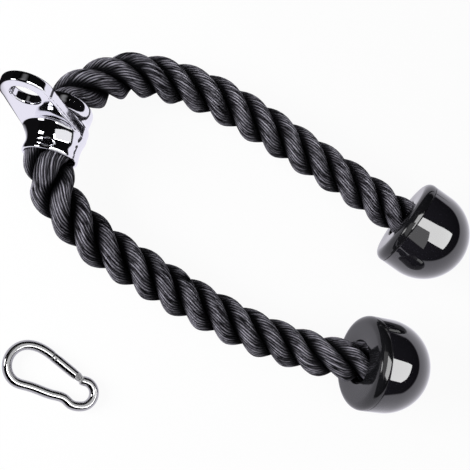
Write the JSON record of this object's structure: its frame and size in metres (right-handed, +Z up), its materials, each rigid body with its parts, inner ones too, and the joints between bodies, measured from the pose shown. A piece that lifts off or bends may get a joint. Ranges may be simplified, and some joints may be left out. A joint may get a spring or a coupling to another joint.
{
  "type": "triceps rope attachment",
  "caption": "Laid black rope doubled through a chromed sleeve with an eye plate, each leg ending in a hollow ball grip, with a sprung snap hook lying beside it.",
  "frame": {"origin": "under the middle of the box round the bracket, both balls and the snap hook, on the table that they lie on", "axes": "+X from the bracket to the balls, +Y across, from the snap hook's side to the upper leg's side, +Z up off the table"},
  "size_m": [0.3534, 0.2448, 0.0701],
  "materials": {
    "chrome": "polished chrome plate",
    "rope": "three-strand laid rope of black filament yarn, slight sheen",
    "dome": "gloss black moulding",
    "cap": "gloss black moulding, slightly softer than the dome",
    "washer": "zinc plated",
    "ferrule": "crimped steel",
    "wire": "satin nickel-bright wire",
    "pin": "bright steel",
    "spring": "bright spring wire"
  },
  "bodies": {
    "bracket": {"eye_bracket": "chrome", "rope_crown": "rope"},
    "leg_upper": {"rope_bend_upper": "rope", "rope_leg_upper": "rope", "ball_shell_upper": "dome", "ball_cap_upper": "cap", "end_washer_upper": "washer", "end_ferrule_upper": "ferrule"},
    "leg_lower": {"rope_bend_lower": "rope", "rope_leg_lower": "rope", "ball_shell_lower": "dome", "ball_cap_lower": "cap", "end_washer_lower": "washer", "end_ferrule_lower": "ferrule"},
    "snap_hook": {"hook_body": "wire", "hook_rivet": "pin"},
    "gate": {"hook_gate": "wire", "hook_latch_pin": "pin", "hook_spring": "spring"},
    "plunger": {"hook_plunger": "pin"}
  },
  "joints": [
    {"name": "leg_upper_bend", "type": "hinge", "parent": "bracket", "child": "leg_upper", "pos_m": [-0.12684, 0.06124, 0.01636], "axis": [0, 0, 1], "range_deg": [-3.5, 40], "deforming": ["rope_bend_upper"]},
    {"name": "leg_lower_bend", "type": "hinge", "parent": "bracket", "child": "leg_lower", "pos_m": [-0.12173, 0.00121, 0.02017], "axis": [0, 0, 1], "range_deg": [-24, 3.5], "deforming": ["rope_bend_lower"]},
    {"name": "snap_hook_lift", "type": "slide", "parent": "bracket", "child": "snap_hook", "axis": [0, 0, 1], "range_m": [0, 0.15]},
    {"name": "gate_hinge", "type": "hinge", "parent": "snap_hook", "child": "gate", "pos_m": [-0.05259, -0.10183, 0.0031], "axis": [0, 0, 1], "range_deg": [0, 28], "stiffness_Nm_per_rad": 0.05, "springref_deg": -45.84},
    {"name": "plunger_slide", "type": "slide", "parent": "gate", "child": "plunger", "axis": [-0.9597, 0.281, 0], "range_m": [0, 0.0006], "deforming": ["hook_spring"]}
  ],
  "couplings": [
    {"joint": "plunger_slide", "follows": "gate_hinge", "m_per_rad": 0.0012}
  ]
}
